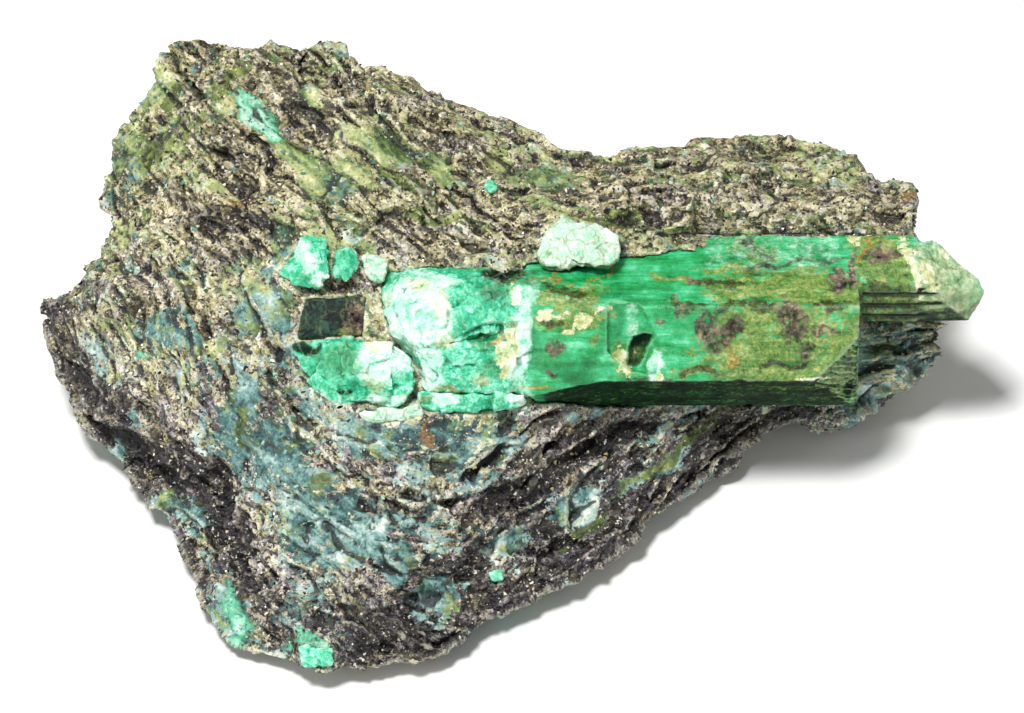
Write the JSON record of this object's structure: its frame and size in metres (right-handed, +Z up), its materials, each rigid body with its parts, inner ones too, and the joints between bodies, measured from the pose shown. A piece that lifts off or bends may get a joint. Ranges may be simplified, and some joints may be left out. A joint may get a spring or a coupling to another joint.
{
  "type": "emerald in matrix",
  "caption": "Hand-sized piece of biotite schist with a long six-sided emerald lying across its broken face and smaller pieces of beryl around it.",
  "frame": {"origin": "a point on the flat underside, under the middle of the stone", "axes": "+Z up from the flat underside; +X along the big crystal, towards its free tip; the broken face with the crystals looks up and towards -Y"},
  "size_m": [0.0947, 0.0692, 0.0337],
  "materials": {
    "schist": "rough broken biotite schist, glittering with mica",
    "emerald": "glassy, cloudy, partly stained yellow and brown",
    "pale_beryl": "crazed, milky",
    "dark_beryl": "glassy, nearly black green"
  },
  "bodies": {
    "root": {"schist_matrix": "schist", "emerald_crystal": "emerald", "emerald_lower_wedge": "emerald", "emerald_lower_band": "emerald", "pale_rim_slab": "pale_beryl", "dark_beryl": "dark_beryl", "emerald_chip_west": "emerald", "emerald_chip_east": "emerald", "pale_beryl_chip": "pale_beryl", "pale_beryl_block": "pale_beryl", "emerald_foot_chip": "emerald", "emerald_bead_north": "emerald", "emerald_bead_south": "emerald"}
  },
  "joints": []
}
